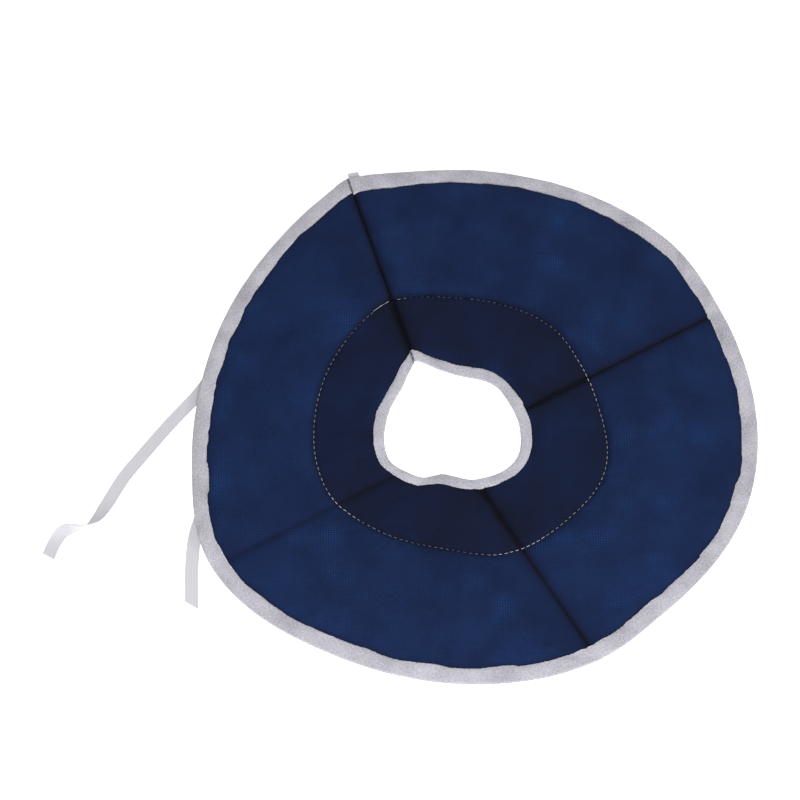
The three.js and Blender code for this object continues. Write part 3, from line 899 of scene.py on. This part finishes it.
def settled_heights():
    """The face cloth's heights, with the simulated wrinkles wherever it isn't sewn."""
    height = face_heights(FACE_GRID)
    _, _, to_tape = seam_distances(FACE_GRID)
    rise = spread_rise(*settle_cloth(height))
    hold = smoothstep(FACE_GRID.to_fold, 2 * MM, 16 * MM) * smoothstep(to_tape, 0, 3 * MM)
    return height + 1.6 * MM * np.tanh(rise * hold / (1.6 * MM))


FACE_HEIGHT = settled_heights()


def face_height_at(q_rows):
    """The face cloth's heights along other rows of the same columns."""
    return np.stack([np.interp(q_rows, FACE_ROWS, line) for line in FACE_HEIGHT])


def add_face_cloth():
    top = FACE_GRID.points(FACE_HEIGHT)
    bottom = top - grid_normals(top) * CLOTH
    add_sheet("face_cloth", FACE_GRID, top, bottom, FACE_GRID.xy + CENTRE, NAVY)


def add_back_cloth():
    rows = [0.25, 0.6, 1.0, 1.5, 1.9, 1.97, 2, 2.03, 2.1, 2.5, 2.9, 3.0, 3.5, 3.9]
    grid = Grid(rows)
    x, y = grid.xy[..., 0], grid.xy[..., 1]
    wave = 0.12 * MM * lattice(x, y, 22 * MM, 7)
    quilted = 0.25 * MM * np.exp(-(np.abs(grid.q - 2) / 0.04) ** 2)
    bottom = grid.points(BACK_BOTTOM + wave + quilted)
    top = bottom + np.array([0, 0, CLOTH])
    add_sheet("back_cloth", grid, top, bottom, grid.xy + CENTRE, BACKING)
    return rows, bottom


add_face_cloth()
BACK_SHEET = add_back_cloth()

# --- Foam pads --------------------------------------------------------


def add_pads():
    for kind, rows in (("rim_foam", np.linspace(2.03, 2.95, 15)),
                       ("neck_foam", np.linspace(1.04, 1.96, 11))):
        grid = Grid(rows)
        roof = face_height_at(rows) - CLOTH - 0.45 * MM
        floor = np.full_like(roof, BACK_TOP + 0.35 * MM)
        top = grid.points(np.maximum(roof, floor + 0.12 * MM))
        bottom = grid.points(floor)
        for index, panel in enumerate(PANELS):
            first = index * COLUMNS_PER_PANEL + 4
            last = (index + 1) * COLUMNS_PER_PANEL - 4
            part = slice(first, last + 1)
            piece = slab_mesh(f"pad_{panel.name}_{kind}", top[part], bottom[part],
                              (grid.xy + CENTRE)[part], FOAM)
            place(piece, f"{panel.name}_panel", f"{panel.name}_{kind}", "foam")


add_pads()

# --- Binding tapes ----------------------------------------------------

TAPE_TOP = 3.1 * MM


def tape_profile():
    """A folded tape's outer face: (share of its reach, rounding, height), from the
    inner edge on top, round the finished edge, to the inner edge below."""
    over = [(s, 0.0, TAPE_TOP) for s in (1.0, 0.97, 0.9, 0.8, 0.68, 0.56, 0.44, 0.32, 0.2)]
    bend = []
    for angle in np.radians(np.linspace(78, -78, 9)):
        bend.append((0.0, 1.5 * MM * (1 - math.cos(angle)),
                     TAPE_TOP / 2 * (1 + math.sin(angle) / math.sin(math.radians(78)))))
    under = [(s, 0.0, 0.0) for s in (0.2, 0.45, 0.7, 1.0)]
    return np.array(over + bend + under)


class TapeRing:
    """The points of a binding tape round the rim or the neck."""

    def __init__(self, from_rim):
        self.from_rim = from_rim
        self.profile = tape_profile()
        grid = Grid([4.0 if from_rim else 0.0])
        self.edge = grid
        self.arc = run_lengths(grid.xy[:, 0])
        self.seed = 31 if from_rim else 41

    def place(self, distance):
        """Plan points and lift at a distance in from the edge."""
        u = np.broadcast_to(self.edge.u, distance.shape)
        xy = np.zeros(distance.shape + (2,))
        lift = np.zeros(distance.shape)
        for index, panel in enumerate(PANELS):
            mine = self.edge.panel == index
            share = distance[mine] / panel.width(u[mine])
            v = 1 - share if self.from_rim else share
            xy[mine] = panel.plan(u[mine], v)
            lift[mine] = panel.lift(u[mine], v)
        return xy, lift

    def build(self):
        share, bend, height = self.profile.T
        reach = tape_reach(self.edge.xy, self.from_rim) + 0.35 * MM
        distance = share[None] * (reach - 1.5 * MM) + np.where(share > 0, 1.5 * MM, 0)[None]
        distance = distance + bend[None]
        xy, lift = self.place(distance)
        along = np.broadcast_to(self.arc[:, None], distance.shape)
        over = np.clip(height / TAPE_TOP, 0, 1)[None]
        crumple = 0.34 * lattice(along, distance, 9 * MM, self.seed)
        crumple += 0.2 * lattice(along, distance, 3.6 * MM, self.seed + 1)
        crumple += 0.22 * lattice(along + distance, distance * 0.3, 5 * MM, self.seed + 2)
        press = -0.35 * np.exp(-((share[None] - 0.97) / 0.05) ** 2) * over
        puff = 0.35 * np.sin(np.pi * np.clip(share, 0, 1))[None] * over
        fold = self.edge.crease * np.exp(-(self.edge.to_fold / (4 * MM)) ** 2)
        slit = 1 - dome(self.edge.to_slit, 4 * MM)
        offset = (crumple * (0.4 + 0.6 * (share < 0.95))[None] + press + puff) * MM
        z = height[None] + (offset - 0.9 * MM * fold - 0.9 * MM * slit) * over
        outer = np.concatenate([xy + CENTRE, (z + lift)[..., None]], axis=-1)
        section = run_lengths(np.stack([distance[0], height], axis=1))
        return outer, along, np.broadcast_to(section, distance.shape)


def add_tape(part, from_rim):
    ring = TapeRing(from_rim)
    outer, along, section = ring.build()
    normals = grid_normals(outer)
    if not from_rim:
        normals = -normals
    inner = outer - normals * TAPE * 0.9
    uv = np.stack([(along + section) * 0.7071, (section - along) * 0.7071], axis=-1)
    faces = (outer, inner, normals, -normals) if from_rim else (inner, outer, -normals, normals)
    share, _, height = ring.profile.T
    # Painted highlight along the tape's folded inner edge on top, and painted shade at the slit
    # between the tape ends.
    painted_edge_highlight = smoothstep(share, 0.88, 0.97) * (height > 0)
    tone = painted_edge_highlight[None] - 1.8 * np.exp(-(ring.edge.to_slit / (0.7 * MM)) ** 2)
    for sector in SECTORS:
        name, first, last = sector[:3]
        cut = slice(first, last + 1)
        top, bottom, *normals = [face[cut] for face in faces]
        piece = slab_mesh(f"{part}_tape_{name}", top, bottom, uv[cut], WHITE_TAPE, tone[cut],
                          normals)
        attach(piece, sector, f"{part}_tape")


add_tape("rim", True)
add_tape("neck", False)

# --- Stitches ---------------------------------------------------------

QUILT_PITCH = 3.5 * MM
QUILT_PROUD = 0.22 * MM


class Surface:
    """Looks up points on a sheet of the ring by its column and row, as fractions."""

    def __init__(self, points):
        self.points = points
        self.normals = grid_normals(points)

    def at(self, column, row):
        i = np.clip(np.floor(column).astype(int), 0, self.points.shape[0] - 2)
        k = np.clip(np.floor(row).astype(int), 0, self.points.shape[1] - 2)
        s, t = (column - i)[..., None], (row - k)[..., None]
        out = []
        for grid in (self.points, self.normals):
            low = grid[i, k] * (1 - t) + grid[i, k + 1] * t
            high = grid[i + 1, k] * (1 - t) + grid[i + 1, k + 1] * t
            out.append(low * (1 - s) + high * s)
        return out


def stitch_meshes(name, stitches, radius, material, node_kind=None):
    """Rounded stitches, one mesh for each sector."""
    shares = np.array([0, 0.06, 0.2, 0.5, 0.8, 0.94, 1.0])
    widths = np.array([0.25, 0.7, 0.95, 1.0, 0.95, 0.7, 0.25])
    rises = np.array([-0.55, -0.15, 0.12, 0.2, 0.12, -0.15, -0.55])
    around = np.radians(np.arange(0, 360, 60))
    for index, sector in enumerate(SECTORS):
        mine = [j for j, stitch in enumerate(stitches) if stitch[3] == index]
        if not mine:
            continue
        vertices, faces, uvs = [], [], []
        for j in mine:
            start, finish, up, _ = stitches[j]
            side = np.cross(up, unit(finish - start))
            base = len(vertices)
            for share, width, rise in zip(shares, widths, rises):
                middle = start + (finish - start) * share + up * rise * radius
                for a in around:
                    offset = side * math.cos(a) + up * math.sin(a) * 0.75
                    vertices.append(middle + offset * radius * width)
                    uvs.append((share * 0.004 + j * 0.01, a * radius))
            n = len(around)
            for r in range(len(shares) - 1):
                for c in range(n):
                    a, b = base + r * n + c, base + r * n + (c + 1) % n
                    faces.append((a, b, b + n, a + n))
            faces.append(tuple(base + c for c in reversed(range(n))))
            last_ring = base + (len(shares) - 1) * n
            faces.append(tuple(last_ring + c for c in range(n)))
        mesh = bpy.data.meshes.new(f"{name}_{sector[0]}")
        mesh.from_pydata([tuple(v) for v in vertices], [], faces)
        mesh.polygons.foreach_set("use_smooth", np.ones(len(faces), bool))
        layer = mesh.uv_layers.new(name="cloth")
        loop_vertices = np.zeros(len(mesh.loops), int)
        mesh.loops.foreach_get("vertex_index", loop_vertices)
        layer.data.foreach_set("uv", np.array(uvs, np.float32)[loop_vertices].ravel())
        mesh.materials.append(material)
        piece = add_object(mesh.name, mesh)
        attach(piece, sector, node_kind)


def sector_index(column):
    edges = [sector[2] for sector in SECTORS]
    return int(np.searchsorted(edges, column, "left"))


def along_row(surface, row, pitch, length, jitter, seed, proud, facing=1, first=0.0,
              last=1e9):
    """Stitches along a row of the sheet: (start, end, the way it faces, sector). They
    run from `first` to `last`, and stand `proud` of it."""
    random = np.random.default_rng(seed)
    columns = np.linspace(0, LAST_COLUMN, 12000)
    points_at = lambda column: surface.at(column, np.full(len(column), row))
    arc = run_lengths(points_at(columns)[0])
    stitches = []
    place = max(first, 0.3 * pitch)
    while place + length < min(arc[-1] - 2 * MM, last):
        size = length * random.uniform(0.9, 1.1)
        column = np.interp([place, place + size], arc, columns)
        points, normal = points_at(column)
        side = unit(np.cross(normal[0], points[1] - points[0]))
        up = facing * unit(normal[0])
        shift = random.normal(0, jitter)
        turn = random.normal(0, jitter)
        stitches.append((points[0] + side * shift + up * proud,
                         points[1] + side * (shift + turn) + up * proud,
                         up, min(sector_index(column.mean()), 4)))
        place += pitch * random.uniform(0.96, 1.04)
    return stitches


def add_quilting():
    face = Surface(FACE_GRID.points(FACE_HEIGHT))
    line = float(np.interp(2.0, FACE_ROWS, np.arange(len(FACE_ROWS))))
    stitches = along_row(face, line, QUILT_PITCH, 2.15 * MM, 0.06 * MM, 51, QUILT_PROUD,
                         first=14 * MM)
    stitch_meshes("quilting", stitches, 0.18 * MM, WHITE_THREAD, "quilt_thread")
    rows, points = BACK_SHEET
    stitches = along_row(Surface(points), rows.index(2), QUILT_PITCH, 2.5 * MM, 0.08 * MM, 53,
                         QUILT_PROUD, -1, first=4 * MM)
    stitch_meshes("bobbin", stitches, 0.22 * MM, WHITE_THREAD, "quilt_thread")
    stitches = along_row(face, line, 1.6 * MM, 2.2 * MM, 0.22 * MM, 52, 1.5 * QUILT_PROUD,
                         first=2.2 * MM, last=15 * MM)
    stitch_meshes("back_tack", stitches, 0.33 * MM, WHITE_THREAD, "quilt_thread")


def add_tape_stitches(part, from_rim):
    outer, _, _ = TapeRing(from_rim).build()
    last_row = len(outer[0]) - 1
    facing, extra_seed = (1, 10) if from_rim else (-1, 0)
    for label, row, length, seed in (("face", 1.35, 1.7 * MM, 61),
                                     ("back", last_row - 0.45, 1.9 * MM, 62)):
        stitches = along_row(Surface(outer), row, 2.6 * MM, length, 0.12 * MM,
                             seed + extra_seed, 0.1 * MM, facing)
        stitch_meshes(f"{part}_binding_{label}", stitches, 0.2 * MM, TAPE_THREAD)


add_quilting()
add_tape_stitches("rim", True)
add_tape_stitches("neck", False)

# --- Closure under the slit, and the ribbons' sewn ends ---------------

HOOK_TAPE = 0.7 * MM


def beside_slit(panel, distance, gap, from_rim):
    """The point of a panel at `gap` from the slit and `distance` outwards from the
    neck edge or the rim, with the panel's lift there."""
    at_start = panel.start is SLIT_START
    line = panel.start if at_start else panel.end
    share = lambda u: distance / panel.width(u) + (1 if from_rim else 0)
    past_line = lambda u: (distance_to(line, panel.plan(u, share(u))) > gap) == at_start
    low, high = (0.0, 0.4) if at_start else (0.6, 1.0)
    u = bisect(np.array(low), np.array(high), past_line, 30)
    return [*(panel.plan(u, share(u)) + CENTRE), float(panel.lift(u, share(u)))]


def strip_beside_slit(name, panel, distances, section, material, from_rim=False):
    """A strip along the slit, from a section of (distance from the slit, upper height,
    lower height)."""
    base = np.array([[beside_slit(panel, distance, gap, from_rim) for gap, _, _ in section]
                     for distance in distances])
    heights = np.array([(upper, lower) for _, upper, lower in section])
    rise = np.array([[0, 0, 1.0]])
    top = base + heights[None, :, :1] * rise
    bottom = base + heights[None, :, 1:] * rise
    if grid_normals(top)[0, 0, 2] < 0:
        top, bottom = top[:, ::-1], bottom[:, ::-1]
    tone = np.full(top.shape[:2], 0.45)
    return slab_mesh(name, top, bottom, top[..., :2], material, tone)


def smooth_section(stations, count):
    """Fills in a section of (distance, upper, lower) with rounded steps."""
    stations = np.array(stations)
    t = np.linspace(0, len(stations) - 1, count)
    i = np.clip(t.astype(int), 0, len(stations) - 2)
    s = t - i
    heights = s * s * (3 - 2 * s)
    out = stations[i] + (stations[i + 1] - stations[i]) * heights[:, None]
    out[:, 0] = stations[i, 0] + (stations[i + 1, 0] - stations[i, 0]) * s
    return out.tolist()


def add_closure():
    left, top = PANELS[0], PANELS[3]
    along = np.linspace(25, 95, 29) * MM
    seam = BACK_BOTTOM - CLEARANCE
    hook = seam - HOOK_TAPE - CLEARANCE
    flap = hook - HOOK_TAPE - CLEARANCE
    strip = lambda first, last, upper, thickness: [
        (first * MM, upper, upper - thickness), (last * MM, upper, upper - thickness)]
    flap_section = [(0.2 * MM, seam, seam - CLOTH), *strip(2.2, 11, flap, CLOTH)]
    pieces = [
        ("closure_seam", top, strip(0.4, 8, seam, CLOTH), 9, BACKING, "top_panel",
         "navy_backing"),
        ("closure_flap", left, flap_section, 19, BACKING, "flap", "navy_backing"),
        ("closure_hook_tape", left, strip(2.5, 10.7, hook, HOOK_TAPE), 9, HOOK, "flap", "hook"),
        ("closure_loop_tape", left, strip(2.5, 10.7, seam, HOOK_TAPE), 9, LOOP, "left_panel",
         "loop"),
    ]
    for name, panel, stations, count, material, body, slot in pieces:
        section = smooth_section(stations, count)
        piece = strip_beside_slit(f"{name}_cloth", panel, along, section, material)
        place(piece, body, name, slot)


def add_tab(name, panel, body, overhang):
    heights = -CLEARANCE, -CLEARANCE - TAPE
    section = smooth_section([(1.5 * MM, *heights), (8.5 * MM, *heights)], 9)
    distances = np.linspace(-3.5, overhang, 13) * MM
    piece = strip_beside_slit(f"{name}_ribbon", panel, distances, section, WHITE_RIBBON, True)
    place(piece, body, name, "ribbon")


add_closure()
add_tab("left_tie_tab", PANELS[0], "left_panel", 1.4)
add_tab("right_tie_tab", PANELS[3], "top_panel", 4.6)
